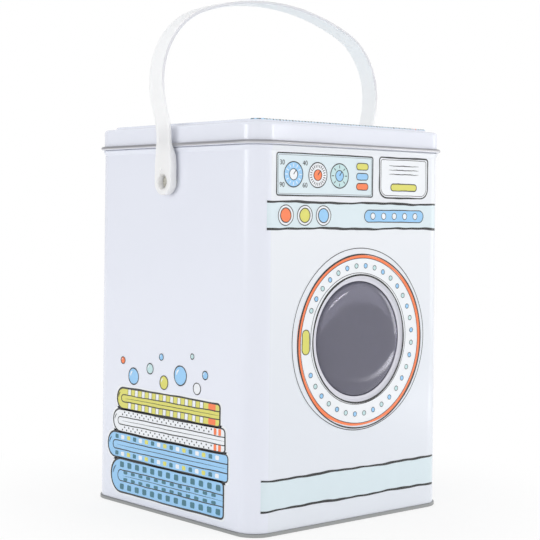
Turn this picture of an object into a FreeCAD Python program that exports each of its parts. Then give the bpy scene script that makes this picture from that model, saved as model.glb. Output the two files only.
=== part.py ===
import FreeCAD, Part
import math
import os
from FreeCAD import Vector

# Laundry powder storage tin, in millimetres.
# The origin is at the middle of the foot, +Z is up and the window wall faces -Y.
# Upright sections are drawn as (out, up): out is measured outward from the wall's outer face.

# ---- Driving dimensions -------------------------------------------------------------

# Tin
TIN_WIDTH = 165.0              # across the outer faces of the side walls
TIN_DEPTH = 165.0              # across the outer faces of the front and back walls
TIN_HEIGHT = 249.0             # from the foot to the top of the lid
CORNER_RADIUS = 13.5           # upright corners, at the outer face
SHEET = 0.28                   # tinplate
LAYER_GAP = 0.06               # between the layers of a folded seam

# Foot seam and floor
FOOT_SEAM_HEIGHT = 2.4
FOOT_FOLD_INNER = 0.03         # inner radius of the body's fold under the foot
HOOK_OVERLAP_SPARE = 0.5       # how far each hook stops short of the fold it reaches into
FLOOR_RECESS = 3.7             # how far the floor's rim stands above the foot
FLOOR_BEND = 0.7
FLOOR_STEP_RISE = 1.0          # stiffening step in the floor
FLOOR_STEP_RUN = 1.3
FLOOR_STEP_INSET = 7.0
STEP_BEND = 0.6                # middle-line radius at the steps in the floor and the lid
STEP_MARGIN = 1.0              # flat border inside each step, before the plain middle

# Lid
LID_SKIRT_HEIGHT = 13.6        # from the bottom of the curl to the shoulder
LID_CLEARANCE = 0.35           # between the tin's neck and the lid's skirt
LID_CURL_RADIUS = 1.1          # middle-line radius
LID_CURL_OPENING = 0.99        # from the curl's edge to the skirt
LID_SHOULDER_BEND = 1.9
LID_STEP_RISE = 2.0            # raised top panel above the shoulder
LID_STEP_RUN = 1.0
LID_STEP_INSET = 6.8

# Neck of the body
BEAD_PROUD = 1.45              # ledge bead that the lid stops on
BEAD_SLOPE_HEIGHT = 2.8
BEAD_RETURN_HEIGHT = 0.35
BEAD_BEND = 0.5
BEAD_TO_CURL = 0.15            # between the bead and the curl above it
RIM_CURL_RADIUS = 0.8          # inward curl of the tin's mouth, middle line
RIM_CURL_DROP = 1.44           # how far its edge hangs below its top
RIM_TO_LID = 2.0               # between the mouth and the underside of the lid's shoulder
BACK_SEAM_WIDTH = 5.0          # upright lock seam inside the back wall
BACK_SEAM_LAYERS = 2           # layers of sheet that it adds
BACK_SEAM_BELOW_MOUTH = 2.4    # where it ends, below the mouth

# Window
WINDOW_RADIUS = 36.2           # clear opening
WINDOW_HEIGHT = 114.0          # its centre above the foot
WINDOW_ASIDE = 4.7             # its centre towards +X from the wall's middle
WINDOW_RIM_WIDTH = 3.4         # pressed rim round the opening
WINDOW_RIM_DEPTH = 1.16        # how far the rim is pressed in
WINDOW_RIM_FLAT = 1.7          # flat inner part of the pressed rim
WINDOW_RIM_BORDER = 1.5        # plain wall round the rim that is formed with it
WINDOW_RIM_OUTER_BEND = 0.9
WINDOW_RIM_INNER_BEND = 0.7
WINDOW_HEM = 0.20              # middle-line radius of the folded edge
WINDOW_HEM_WIDTH = 1.3
PANE_THICKNESS = 0.6
PANE_FLANGE = 4.0              # clamped border outside the opening
PANE_DOME = 2.4                # how far the middle stands in front of the flange
PANE_FLAT_RADIUS = 2.0         # flat spot in the middle of the dome
PANE_EDGE_INSET = 0.5          # the dome ends this far inside the opening
PANE_CLEARANCE = 0.05
RING_THICKNESS = 0.35          # retaining ring behind the pane
RING_CLAMP_INSET = 0.8         # its inner edge outside the opening
RING_RIM_WIDTH = 4.6           # bonded rim against the wall
RING_SIDE_CLEARANCE = 0.7      # between the pane's edge and the ring
RING_BEND = 0.4

# Pivot studs
PIVOT_BELOW_CURL = 22.0        # pivot axis below the bottom of the lid's curl
STUD_SHANK_RADIUS = 3.8        # the handle turns on this
STUD_COLLAR_OVERHANG = 2.2     # collar beyond the shank
STUD_COLLAR_LENGTH = 1.5       # keeps the handle off the wall
STUD_HEAD_OVERHANG = 0.6       # head beyond the shank
STUD_HEAD_LENGTH = 0.6
STUD_HEAD_EDGE = 0.25          # bevel of the head's edge
STUD_TAIL_RADIUS = 2.5         # riveted end through the wall
STUD_TAIL_HEAD_OVERHANG = 1.7  # riveted head beyond the tail
STUD_TAIL_HEAD_LENGTH = 1.0
STUD_TAIL_HEAD_EDGE = 0.5
RUNNING_CLEARANCE = 0.06       # radial, shank in the handle's bore
FIXED_CLEARANCE = 0.05         # radial, tail in the wall and washer
AXIAL_CLEARANCE = 0.15
WASHER_OVERHANG = 2.8          # washer beyond the riveted head
WASHER_THICKNESS = 0.8

# Handle
STRAP_WIDTH = 13.8
STRAP_THICKNESS = 2.3
STRAP_EDGE = 0.7               # rounding of the strap's long edges
STRAP_GROOVE_WIDTH = 8.6       # shallow channel along the outer face
STRAP_GROOVE_DEPTH = 0.25
STRAP_GROOVE_SLOPE = 0.6
TAB_FLARE = 1.4                # tab wider than the strap, on each side
TAB_THICKNESS = 5.3
TAB_STRAIGHT = 10.0            # full width above the pivot
TAB_FULL_THICKNESS = 16.5      # full thickness above the pivot
TAB_TOP_STRAIGHT = 1.0         # even thickness below the tab's top
TAB_TOP = 24.5                 # where the strap begins, above the pivot
TAB_STEP = 0.12                # how far the tab stands proud of the strap all round it
TAB_LIP = 0.8                  # inner wall that the stud's head holds
TAB_BORE_SPARE = 0.4           # outer bore beyond the stud's head
TAB_RECESS_RADIUS = 2.6        # shallow lead-in above the hole
TAB_RECESS_REACH = 6.2
TAB_RECESS_DEPTH = 0.7
SHOULDER_HEIGHT = 63.9         # widest point of the strap above the pivot
SHOULDER_BULGE = 12.0          # widest point outside the wall
SHOULDER_RADIUS = 47.7
CROWN_RISE = 56.8              # top of the strap above its widest point
CROWN_SWAY = 3.2               # the soft strap's crown leans towards -X
SHOULDER_SWAY = 1.8            # so the shoulder on that side is wider bent and the other tighter

# ---- Places worked out from them ----------------------------------------------------

ORIGIN = Vector(0, 0, 0)
X_AXIS = Vector(1, 0, 0)
Y_AXIS = Vector(0, 1, 0)
Z_AXIS = Vector(0, 0, 1)

HALF_WIDTH = TIN_WIDTH / 2
HALF_DEPTH = TIN_DEPTH / 2
HALF_SHEET = SHEET / 2
LAYER_PITCH = SHEET + LAYER_GAP
WALL_MIDDLE = -HALF_SHEET

LID_TOP_MIDDLE = TIN_HEIGHT - HALF_SHEET
LID_SHOULDER_MIDDLE = LID_TOP_MIDDLE - LID_STEP_RISE
LID_CURL_BOTTOM = LID_SHOULDER_MIDDLE + HALF_SHEET - LID_SKIRT_HEIGHT
LID_SKIRT_MIDDLE = LID_CLEARANCE + HALF_SHEET
BEAD_TOP = LID_CURL_BOTTOM - BEAD_TO_CURL
MOUTH_TOP = LID_SHOULDER_MIDDLE - HALF_SHEET - RIM_TO_LID
PIVOT_HEIGHT = LID_CURL_BOTTOM - PIVOT_BELOW_CURL
WINDOW_MIDDLE = Vector(WINDOW_ASIDE, -HALF_DEPTH, WINDOW_HEIGHT)

TAB_INNER = STUD_COLLAR_LENGTH + AXIAL_CLEARANCE      # gap between the wall and the tab
TAB_OUTER = TAB_INNER + TAB_THICKNESS
STRAP_START_OUT = TAB_OUTER - TAB_STEP - STRAP_THICKNESS / 2
BORE_RADIUS = STUD_SHANK_RADIUS + RUNNING_CLEARANCE
COLLAR_RADIUS = STUD_SHANK_RADIUS + STUD_COLLAR_OVERHANG
HEAD_RADIUS = STUD_SHANK_RADIUS + STUD_HEAD_OVERHANG
TAIL_HEAD_RADIUS = STUD_TAIL_RADIUS + STUD_TAIL_HEAD_OVERHANG
OUTER_BORE_RADIUS = HEAD_RADIUS + TAB_BORE_SPARE
TAB_WIDTH = STRAP_WIDTH + 2 * TAB_FLARE


# ---- Helpers -------------------------------------------------------------------------

def unit(a, b):
    """The direction from one point of a section to the next."""
    length = math.hypot(b[0] - a[0], b[1] - a[1])
    return ((b[0] - a[0]) / length, (b[1] - a[1]) / length)


def offset_side(path, shift):
    """One face of a bent sheet: the lines and arcs at a distance to the left of its middle line.

    Each point of the path is (a, b, bend radius). Returns pieces as lists of 2 or 3 points.
    """
    pieces = []
    ways = [unit(path[i], path[i + 1]) for i in range(len(path) - 1)]
    last = (path[0][0] - shift * ways[0][1], path[0][1] + shift * ways[0][0])
    for i in range(1, len(path) - 1):
        into, out = ways[i - 1], ways[i]
        turn = math.atan2(into[0] * out[1] - into[1] * out[0], into[0] * out[0] + into[1] * out[1])
        side = math.copysign(1.0, turn)
        bend = path[i][2]
        trim = bend * math.tan(abs(turn) / 2)
        foot = (path[i][0] - trim * into[0], path[i][1] - trim * into[1])
        centre = (foot[0] - side * bend * into[1], foot[1] + side * bend * into[0])
        radius = bend - side * shift
        points = []
        for share in (0.0, 0.5, 1.0):
            angle = turn * share
            away = (side * into[1], -side * into[0])
            spoke = (away[0] * math.cos(angle) - away[1] * math.sin(angle),
                     away[0] * math.sin(angle) + away[1] * math.cos(angle))
            points.append((centre[0] + radius * spoke[0], centre[1] + radius * spoke[1]))
        pieces.append([last, points[0]])
        pieces.append(points)
        last = points[2]
    end = path[-1]
    pieces.append([last, (end[0] - shift * ways[-1][1], end[1] + shift * ways[-1][0])])
    return pieces


def section_face(pieces, place):
    """A face bounded by lines and arcs. place turns a section point into a point in space."""
    edges = []
    for points in pieces:
        spots = [place(*point) for point in points]
        if spots[0].distanceToPoint(spots[-1]) < 1e-6:
            continue
        if len(spots) == 3:
            edges.append(Part.Arc(*spots).toShape())
        else:
            edges.append(Part.LineSegment(*spots).toShape())
    return Part.Face(Part.Wire(edges))


def sheet_face(path, thickness, place):
    """The cut face of a bent sheet, from its middle line."""
    left = offset_side(path, thickness / 2)
    right = offset_side(path, -thickness / 2)
    back = [list(reversed(points)) for points in reversed(right)]
    caps = [[left[-1][-1], back[0][0]]]
    closing = [[back[-1][-1], left[0][0]]]
    return section_face(left + caps + back + closing, place)


def joined(pieces):
    """Several touching solids made into one."""
    return pieces[0].multiFuse(pieces[1:]).removeSplitter()


def wrapped(path, thickness=SHEET):
    """A bent sheet carried once round the tin: four straight walls and four turned corners."""
    section = sheet_face(path, thickness, lambda out, up: Vector(CORNER_RADIUS + out, 0, up))
    reach_x = HALF_WIDTH - CORNER_RADIUS
    reach_y = HALF_DEPTH - CORNER_RADIUS
    corners = [(reach_x, reach_y), (-reach_x, reach_y), (-reach_x, -reach_y), (reach_x, -reach_y)]
    ways = [Vector(-2 * reach_x, 0, 0), Vector(0, -2 * reach_y, 0),
            Vector(2 * reach_x, 0, 0), Vector(0, 2 * reach_y, 0)]
    pieces = []
    for quarter, (corner, way) in enumerate(zip(corners, ways)):
        axis = Vector(corner[0], corner[1], 0)
        start = section.copy()
        start.rotate(ORIGIN, Z_AXIS, 90 * quarter)
        start.translate(axis)
        pieces.append(start.revolve(axis, Z_AXIS, 90))
        end = section.copy()
        end.rotate(ORIGIN, Z_AXIS, 90 * (quarter + 1))
        end.translate(axis)
        pieces.append(end.extrude(way))
    return joined(pieces)


def round_plate(inset, low, thickness):
    """A flat plate with the tin's rounded outline, drawn in from the wall's outer face."""
    half_x = HALF_WIDTH - inset
    half_y = HALF_DEPTH - inset
    radius = CORNER_RADIUS - inset
    block = Part.makeBox(2 * half_x, 2 * half_y, thickness, Vector(-half_x, -half_y, low))
    upright = [edge for edge in block.Edges if abs(edge.tangentAt(edge.FirstParameter).z) > 0.9]
    return block.makeFillet(radius, upright)


def turned(face, base, axis):
    """A face turned a full circle."""
    return face.revolve(base, axis, 360)


def window_section(radius, depth):
    """A point of a section round the window: radius from its axis, depth behind the wall's face."""
    return Vector(radius, depth, 0)


def window_turned(face):
    """A piece turned round the window's axis and set in its place in the front wall."""
    piece = turned(face, ORIGIN, Y_AXIS)
    piece.translate(WINDOW_MIDDLE)
    return piece


def pivot_rod(radius, start, end, side):
    """A round bar on the pivot axis, from one distance outside the wall's face to another."""
    base = Vector(side * (HALF_WIDTH + start), 0, PIVOT_HEIGHT)
    return Part.makeCylinder(radius, end - start, base, Vector(side, 0, 0))


# ---- Tinplate pieces -----------------------------------------------------------------

def make_body_wall():
    hook = 2 * LAYER_PITCH + WALL_MIDDLE
    fold = HALF_SHEET + LAYER_PITCH
    fold_bend = FOOT_FOLD_INNER + HALF_SHEET
    hook_end = FOOT_SEAM_HEIGHT - HALF_SHEET - HOOK_OVERLAP_SPARE
    bead_low = BEAD_TOP - HALF_SHEET - BEAD_SLOPE_HEIGHT - BEAD_RETURN_HEIGHT
    bead_peak = BEAD_PROUD - HALF_SHEET
    mouth = MOUTH_TOP - HALF_SHEET
    curl_in = WALL_MIDDLE - 2 * RIM_CURL_RADIUS
    wall = wrapped([
        (hook, hook_end, 0),
        (hook, fold, fold_bend),
        (WALL_MIDDLE, fold, fold_bend),
        (WALL_MIDDLE, bead_low, 2 * BEAD_BEND),
        (bead_peak, bead_low + BEAD_SLOPE_HEIGHT, BEAD_BEND),
        (WALL_MIDDLE, BEAD_TOP - HALF_SHEET, BEAD_BEND),
        (WALL_MIDDLE, mouth, RIM_CURL_RADIUS),
        (curl_in, mouth, RIM_CURL_RADIUS),
        (curl_in, mouth - RIM_CURL_DROP, 0),
    ])
    wall = add_back_seam(wall, bead_low)
    wall = press_window(wall)
    for side in (-1, 1):
        hole = pivot_rod(STUD_TAIL_RADIUS + FIXED_CLEARANCE, -2 * SHEET, SHEET, side)
        wall = wall.cut(hole)
    return wall


def add_back_seam(wall, bead_low):
    """The flattened layers of the lock seam inside the back wall, below and above the bead."""
    depth = BACK_SEAM_LAYERS * SHEET
    floor_clear = FLOOR_RECESS + SHEET + FLOOR_STEP_RISE + FLOOR_BEND
    runs = [(floor_clear, bead_low - BEAD_BEND),
            (BEAD_TOP + BEAD_BEND, MOUTH_TOP - BACK_SEAM_BELOW_MOUTH)]
    strips = []
    for low, high in runs:
        corner = Vector(-BACK_SEAM_WIDTH / 2, HALF_DEPTH - SHEET - depth, low)
        strips.append(Part.makeBox(BACK_SEAM_WIDTH, depth, high - low, corner))
    return joined([wall] + strips)


def press_window(wall):
    """The round opening with its pressed-in rim and folded edge."""
    outer = WINDOW_RADIUS + WINDOW_RIM_WIDTH + WINDOW_RIM_BORDER
    flat_depth = HALF_SHEET + WINDOW_RIM_DEPTH
    hem_middle = WINDOW_RADIUS + HALF_SHEET
    rim = sheet_face([
        (outer, HALF_SHEET, 0),
        (WINDOW_RADIUS + WINDOW_RIM_WIDTH, HALF_SHEET, WINDOW_RIM_OUTER_BEND),
        (WINDOW_RADIUS + WINDOW_RIM_FLAT, flat_depth, WINDOW_RIM_INNER_BEND),
        (hem_middle, flat_depth, WINDOW_HEM),
        (hem_middle, flat_depth + 2 * WINDOW_HEM, WINDOW_HEM),
        (hem_middle + WINDOW_HEM_WIDTH, flat_depth + 2 * WINDOW_HEM, 0),
    ], SHEET, window_section)
    opening = Part.makeCylinder(outer, 3 * SHEET, WINDOW_MIDDLE - Vector(0, SHEET, 0), Y_AXIS)
    return joined([wall.cut(opening), window_turned(rim)])


def make_base_panel():
    """The floor, with its edge folded round the body's foot in a double seam."""
    chuck = WALL_MIDDLE - LAYER_PITCH
    outer = WALL_MIDDLE + 3 * LAYER_PITCH
    hook = WALL_MIDDLE + LAYER_PITCH
    seam_top = FOOT_SEAM_HEIGHT - HALF_SHEET
    hook_end = HALF_SHEET + LAYER_PITCH + HOOK_OVERLAP_SPARE
    foot_bend = FOOT_FOLD_INNER + HALF_SHEET + LAYER_PITCH
    floor = FLOOR_RECESS + HALF_SHEET
    raised = floor + FLOOR_STEP_RISE
    step_end = FLOOR_STEP_INSET + FLOOR_STEP_RUN
    plate_inset = step_end + STEP_MARGIN
    edge = wrapped([
        (-plate_inset, raised, 0),
        (-step_end, raised, STEP_BEND),
        (-FLOOR_STEP_INSET, floor, STEP_BEND),
        (chuck, floor, FLOOR_BEND),
        (chuck, HALF_SHEET, foot_bend),
        (outer, HALF_SHEET, foot_bend),
        (outer, seam_top, LAYER_PITCH),
        (hook, seam_top, LAYER_PITCH),
        (hook, hook_end, 0),
    ])
    return joined([edge, round_plate(plate_inset, raised - HALF_SHEET, SHEET)])


def make_lid():
    """The drawn lid: open outward curl, skirt, shoulder and raised top panel."""
    curl = LID_CURL_RADIUS
    low = LID_CURL_BOTTOM + HALF_SHEET
    curl_out = LID_SKIRT_MIDDLE + 2 * curl
    step_end = LID_STEP_INSET + LID_STEP_RUN
    plate_inset = step_end + STEP_MARGIN
    edge = wrapped([
        (LID_SKIRT_MIDDLE + LID_CURL_OPENING, low + 2 * curl, 0),
        (curl_out, low + 2 * curl, curl),
        (curl_out, low, curl),
        (LID_SKIRT_MIDDLE, low, curl),
        (LID_SKIRT_MIDDLE, LID_SHOULDER_MIDDLE, LID_SHOULDER_BEND),
        (-LID_STEP_INSET, LID_SHOULDER_MIDDLE, STEP_BEND),
        (-step_end, LID_TOP_MIDDLE, STEP_BEND),
        (-plate_inset, LID_TOP_MIDDLE, 0),
    ])
    return joined([edge, round_plate(plate_inset, LID_TOP_MIDDLE - HALF_SHEET, SHEET)])


# ---- Window pieces -------------------------------------------------------------------

def pane_front_depth():
    """Depth of the pane's flange behind the wall's outer face."""
    return SHEET + WINDOW_RIM_DEPTH + 2 * WINDOW_HEM + PANE_CLEARANCE


def make_window_pane():
    """A clear disc with a gently domed middle and a flat flange behind the folded edge."""
    flange = pane_front_depth()
    edge = WINDOW_RADIUS - PANE_EDGE_INSET
    outer = WINDOW_RADIUS + PANE_FLANGE
    run = edge - PANE_FLAT_RADIUS
    dome_radius = (run ** 2 + PANE_DOME ** 2) / (2 * PANE_DOME)
    half_angle = math.asin(run / dome_radius) / 2
    top = flange - PANE_DOME
    halfway = (PANE_FLAT_RADIUS + dome_radius * math.sin(half_angle),
               top + dome_radius * (1 - math.cos(half_angle)))
    front = [(PANE_FLAT_RADIUS, top), halfway, (edge, flange)]
    back = [(point[0], point[1] + PANE_THICKNESS) for point in reversed(front)]
    face = section_face([
        [(0, top), front[0]],
        front,
        [(edge, flange), (outer, flange)],
        [(outer, flange), (outer, flange + PANE_THICKNESS)],
        [(outer, flange + PANE_THICKNESS), back[0]],
        back,
        [back[-1], (0, top + PANE_THICKNESS)],
        [(0, top + PANE_THICKNESS), (0, top)],
    ], window_section)
    return window_turned(face)


def make_window_ring():
    """The thin ring that clamps the pane's flange and is bonded to the wall by its rim."""
    half = RING_THICKNESS / 2
    clamp = pane_front_depth() + PANE_THICKNESS + PANE_CLEARANCE + half
    seat = SHEET + PANE_CLEARANCE + half
    side = WINDOW_RADIUS + PANE_FLANGE + RING_SIDE_CLEARANCE + half
    face = sheet_face([
        (WINDOW_RADIUS + RING_CLAMP_INSET, clamp, 0),
        (side, clamp, RING_BEND),
        (side, seat, RING_BEND),
        (side + RING_RIM_WIDTH, seat, 0),
    ], RING_THICKNESS, window_section)
    return window_turned(face)


# ---- Pivot pieces --------------------------------------------------------------------

def make_stud(side):
    """One pivot stud: collar, shank and head outside the wall, riveted tail inside it."""
    head_start = TAB_INNER + TAB_LIP + AXIAL_CLEARANCE
    head_end = head_start + STUD_HEAD_LENGTH
    washer_end = -SHEET - WASHER_THICKNESS
    tail_end = washer_end - STUD_TAIL_HEAD_LENGTH
    outline = [
        (0, tail_end), (TAIL_HEAD_RADIUS - STUD_TAIL_HEAD_EDGE, tail_end),
        (TAIL_HEAD_RADIUS, tail_end + STUD_TAIL_HEAD_EDGE), (TAIL_HEAD_RADIUS, washer_end),
        (STUD_TAIL_RADIUS, washer_end), (STUD_TAIL_RADIUS, 0),
        (COLLAR_RADIUS, 0), (COLLAR_RADIUS, STUD_COLLAR_LENGTH),
        (STUD_SHANK_RADIUS, STUD_COLLAR_LENGTH), (STUD_SHANK_RADIUS, head_start),
        (HEAD_RADIUS, head_start), (HEAD_RADIUS, head_end - STUD_HEAD_EDGE),
        (HEAD_RADIUS - STUD_HEAD_EDGE, head_end), (0, head_end),
    ]
    pieces = [[outline[i - 1], outline[i]] for i in range(len(outline))]
    face = section_face(pieces, lambda radius, out: Vector(side * (HALF_WIDTH + out), 0,
                                                           PIVOT_HEIGHT + radius))
    return turned(face, Vector(0, 0, PIVOT_HEIGHT), X_AXIS)


def make_washer(side):
    """The plate inside the wall that a stud's tail is riveted over."""
    radius = TAIL_HEAD_RADIUS + WASHER_OVERHANG
    disc = pivot_rod(radius, -SHEET - WASHER_THICKNESS, -SHEET, side)
    hole = pivot_rod(STUD_TAIL_RADIUS + FIXED_CLEARANCE, -2 * SHEET - WASHER_THICKNESS, 0, side)
    return disc.cut(hole)


# ---- Handle --------------------------------------------------------------------------

def strap_section(radius, outward):
    """The strap's cut face at a distance from an arc's axis, with its channel on the outer side.

    outward is 1 where the strap's outer face is the one away from the axis, else -1.
    """
    half_width = STRAP_WIDTH / 2
    half_thick = STRAP_THICKNESS / 2
    edge = STRAP_EDGE
    corner = edge * (1 - math.sqrt(0.5))
    groove = STRAP_GROOVE_WIDTH / 2
    ramp = groove + STRAP_GROOVE_SLOPE
    floor = half_thick - STRAP_GROOVE_DEPTH
    half = [
        [(-groove, floor), (-ramp, half_thick)],
        [(-ramp, half_thick), (-half_width + edge, half_thick)],
        [(-half_width + edge, half_thick), (-half_width + corner, half_thick - corner),
         (-half_width, half_thick - edge)],
        [(-half_width, half_thick - edge), (-half_width, -half_thick + edge)],
        [(-half_width, -half_thick + edge), (-half_width + corner, -half_thick + corner),
         (-half_width + edge, -half_thick)],
    ]
    other = [[(-across, out) for across, out in reversed(points)] for points in reversed(half)]
    bottom = [[half[-1][-1], other[0][0]]]
    top = [[other[-1][-1], half[0][0]]]
    return section_face(half + bottom + other + top,
                        lambda across, out: Vector(radius + outward * out, across, 0))


def strap_arc(centre, radius, start, end, outward=1):
    """A length of strap bent round an axis along Y. Angles run from +X towards +Z, in degrees."""
    axis = Vector(centre[0], 0, centre[1])
    face = strap_section(radius, outward)
    face.rotate(ORIGIN, Y_AXIS, -start)
    face.translate(axis)
    return face.revolve(axis, Y_AXIS, start - end)


def half_strap(side):
    """The strap from one tab up to the crown: two easing arcs, a shoulder arc and a crown arc."""
    start_x = HALF_WIDTH + STRAP_START_OUT
    bulge_x = HALF_WIDTH + SHOULDER_BULGE
    crown_x = -side * CROWN_SWAY
    shoulder = SHOULDER_RADIUS - side * SHOULDER_SWAY
    start_z = PIVOT_HEIGHT + TAB_TOP
    bulge_z = PIVOT_HEIGHT + SHOULDER_HEIGHT
    crown_z = bulge_z + CROWN_RISE
    run = bulge_x - start_x
    rise = bulge_z - start_z
    ease = 2 * math.atan2(run, rise)
    ease_radius = rise / 2 / math.sin(ease)
    ease = math.degrees(ease)
    across = bulge_x - crown_x
    spread = across ** 2 + CROWN_RISE ** 2 - 2 * across * shoulder
    crown_radius = spread / (2 * (CROWN_RISE - shoulder))
    crown_centre = (crown_x, crown_z - crown_radius)
    shoulder_centre = (bulge_x - shoulder, bulge_z)
    meet = math.degrees(math.atan2(shoulder_centre[1] - crown_centre[1],
                                   shoulder_centre[0] - crown_centre[0]))
    pieces = [
        strap_arc((start_x + ease_radius, start_z), ease_radius, 180, 180 - ease, -1),
        strap_arc((bulge_x - ease_radius, bulge_z), ease_radius, -ease, 0),
        strap_arc(shoulder_centre, shoulder, 0, meet),
        strap_arc(crown_centre, crown_radius, meet, 90),
    ]
    if side < 0:
        pieces = [piece.mirror(ORIGIN, X_AXIS) for piece in pieces]
    return pieces


def make_tab(side):
    """One end of the handle: a thick rounded tab that thins and narrows into the strap."""
    half_tab = TAB_WIDTH / 2
    half_top = STRAP_WIDTH / 2 + TAB_STEP
    top_inner = TAB_OUTER - STRAP_THICKNESS - 2 * TAB_STEP
    outline = section_face([
        [(half_tab, 0), (0, -half_tab), (-half_tab, 0)],
        [(-half_tab, 0), (-half_tab, TAB_STRAIGHT)],
        [(-half_tab, TAB_STRAIGHT), (-half_top, TAB_TOP)],
        [(-half_top, TAB_TOP), (half_top, TAB_TOP)],
        [(half_top, TAB_TOP), (half_tab, TAB_STRAIGHT)],
        [(half_tab, TAB_STRAIGHT), (half_tab, 0)],
    ], lambda across, up: Vector(0, across, up))
    block = outline.extrude(Vector(TAB_OUTER, 0, 0))
    profile = [
        (TAB_INNER, -half_tab), (TAB_OUTER, -half_tab), (TAB_OUTER, TAB_TOP),
        (top_inner, TAB_TOP), (top_inner, TAB_TOP - TAB_TOP_STRAIGHT),
        (TAB_INNER, TAB_FULL_THICKNESS),
    ]
    sides = [[profile[i - 1], profile[i]] for i in range(len(profile))]
    wedge = section_face(sides, lambda out, up: Vector(out, -half_tab, up))
    tab = block.common(wedge.extrude(Vector(0, TAB_WIDTH, 0)))
    rounded = [edge for edge in tab.Edges if is_tab_border(edge)]
    tab = tab.makeFillet(STRAP_EDGE, rounded)
    tab = tab.cut(Part.makeCylinder(BORE_RADIUS, TAB_OUTER, ORIGIN, X_AXIS))
    outer_bore = Vector(TAB_INNER + TAB_LIP, 0, 0)
    tab = tab.cut(Part.makeCylinder(OUTER_BORE_RADIUS, TAB_THICKNESS, outer_bore, X_AXIS))
    recess = Vector(TAB_OUTER - TAB_RECESS_DEPTH, 0, 0)
    slot = Part.makeBox(TAB_THICKNESS, 2 * TAB_RECESS_RADIUS, TAB_RECESS_REACH,
                        recess - Vector(0, TAB_RECESS_RADIUS, 0))
    end = Part.makeCylinder(TAB_RECESS_RADIUS, TAB_THICKNESS,
                            recess + Vector(0, 0, TAB_RECESS_REACH), X_AXIS)
    tab = tab.cut(slot.fuse(end))
    tab.translate(Vector(HALF_WIDTH, 0, PIVOT_HEIGHT))
    if side < 0:
        tab = tab.mirror(ORIGIN, X_AXIS)
    return tab


def is_tab_border(edge):
    """The long edges round both faces of a tab, but not the end that the strap grows from."""
    middle = edge.valueAt((edge.FirstParameter + edge.LastParameter) / 2)
    along = edge.tangentAt((edge.FirstParameter + edge.LastParameter) / 2)
    on_side = abs(abs(middle.y) - STRAP_WIDTH / 2) < TAB_WIDTH - STRAP_WIDTH or middle.z < 0
    return on_side and middle.z < TAB_TOP - 1e-3 and abs(along.x) < 0.9


def make_handle():
    pieces = half_strap(-1) + half_strap(1)
    return joined(pieces + [make_tab(-1), make_tab(1)])


# ---- Build ---------------------------------------------------------------------------

def main():
    os.makedirs("parts", exist_ok=True)
    nodes = {
        "body_wall": make_body_wall(),
        "base_panel": make_base_panel(),
        "lid": make_lid(),
        "window_pane": make_window_pane(),
        "window_ring": make_window_ring(),
        "handle": make_handle(),
        "left_stud": make_stud(-1),
        "right_stud": make_stud(1),
        "left_washer": make_washer(-1),
        "right_washer": make_washer(1),
    }
    for name, shape in nodes.items():
        box = shape.BoundBox
        print(f"{name}: solids {len(shape.Solids)}, valid {shape.isValid()}, "
              f"volume {shape.Volume:.1f}, z {box.ZMin:.2f} to {box.ZMax:.2f}")
        shape.exportStep(f"parts/{name}.step")


main()
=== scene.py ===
"""Laundry powder storage tin: printed body, lift-off lid, clear window and plastic strap."""

import math

import bmesh
import bpy
import numpy as np
from mathutils import Matrix, Vector


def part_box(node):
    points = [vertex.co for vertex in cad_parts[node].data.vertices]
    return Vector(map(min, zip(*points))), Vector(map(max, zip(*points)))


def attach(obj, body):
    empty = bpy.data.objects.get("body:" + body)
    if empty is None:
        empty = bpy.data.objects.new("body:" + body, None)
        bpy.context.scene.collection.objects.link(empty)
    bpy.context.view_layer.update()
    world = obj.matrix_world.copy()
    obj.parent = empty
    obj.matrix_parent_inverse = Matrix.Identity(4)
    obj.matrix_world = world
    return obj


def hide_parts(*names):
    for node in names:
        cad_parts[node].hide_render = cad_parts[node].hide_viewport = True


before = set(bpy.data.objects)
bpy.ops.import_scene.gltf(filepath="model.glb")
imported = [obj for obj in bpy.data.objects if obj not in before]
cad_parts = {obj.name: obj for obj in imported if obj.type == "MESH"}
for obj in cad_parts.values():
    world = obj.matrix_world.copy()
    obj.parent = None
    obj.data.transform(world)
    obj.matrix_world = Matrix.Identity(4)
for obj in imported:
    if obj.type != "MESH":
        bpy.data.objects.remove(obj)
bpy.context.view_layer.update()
MM = 0.001                    # all is in metres, but the drawings' numbers are millimetres


# ---- Shader expressions -------------------------------------------------------------------

class Wire:
    """A socket of a material. Arithmetic on it adds Math nodes, and + - * stay readable."""

    def __init__(self, finish, socket):
        self.finish, self.socket = finish, socket

    def math(self, operation, *others):
        return self.finish.node("Math", {"operation": operation},
                                dict(enumerate((self,) + others)))

    def __add__(self, other): return self.math("ADD", other)
    def __sub__(self, other): return self.math("SUBTRACT", other)
    def __rsub__(self, other): return (self * -1.0).math("ADD", other)
    def __mul__(self, other): return self.math("MULTIPLY", other)
    def __gt__(self, other): return self.math("GREATER_THAN", other)
    def __lt__(self, other): return self.math("LESS_THAN", other)
    def __abs__(self): return self.math("ABSOLUTE")
    def both(self, other): return self.math("MINIMUM", other)
    def either(self, other): return self.math("MAXIMUM", other)

    def ramp(self, low, high, to_low=0.0, to_high=1.0):
        """Eases from to_low to to_high while the value goes from low to high."""
        return self.finish.node("MapRange", {"interpolation_type": "SMOOTHSTEP"}, {
            "Value": self, "From Min": low, "From Max": high, "To Min": to_low, "To Max": to_high})

    def spread(self, low=0.0, high=1.0):
        """A noise, which mostly keeps between 0.3 and 0.7, eased out to run from low to high."""
        return self.ramp(0.3, 0.7, low, high)


def length(a, b):
    """How long the flat vector (a, b) is."""
    return (a * a + b * b).math("SQRT")


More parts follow.
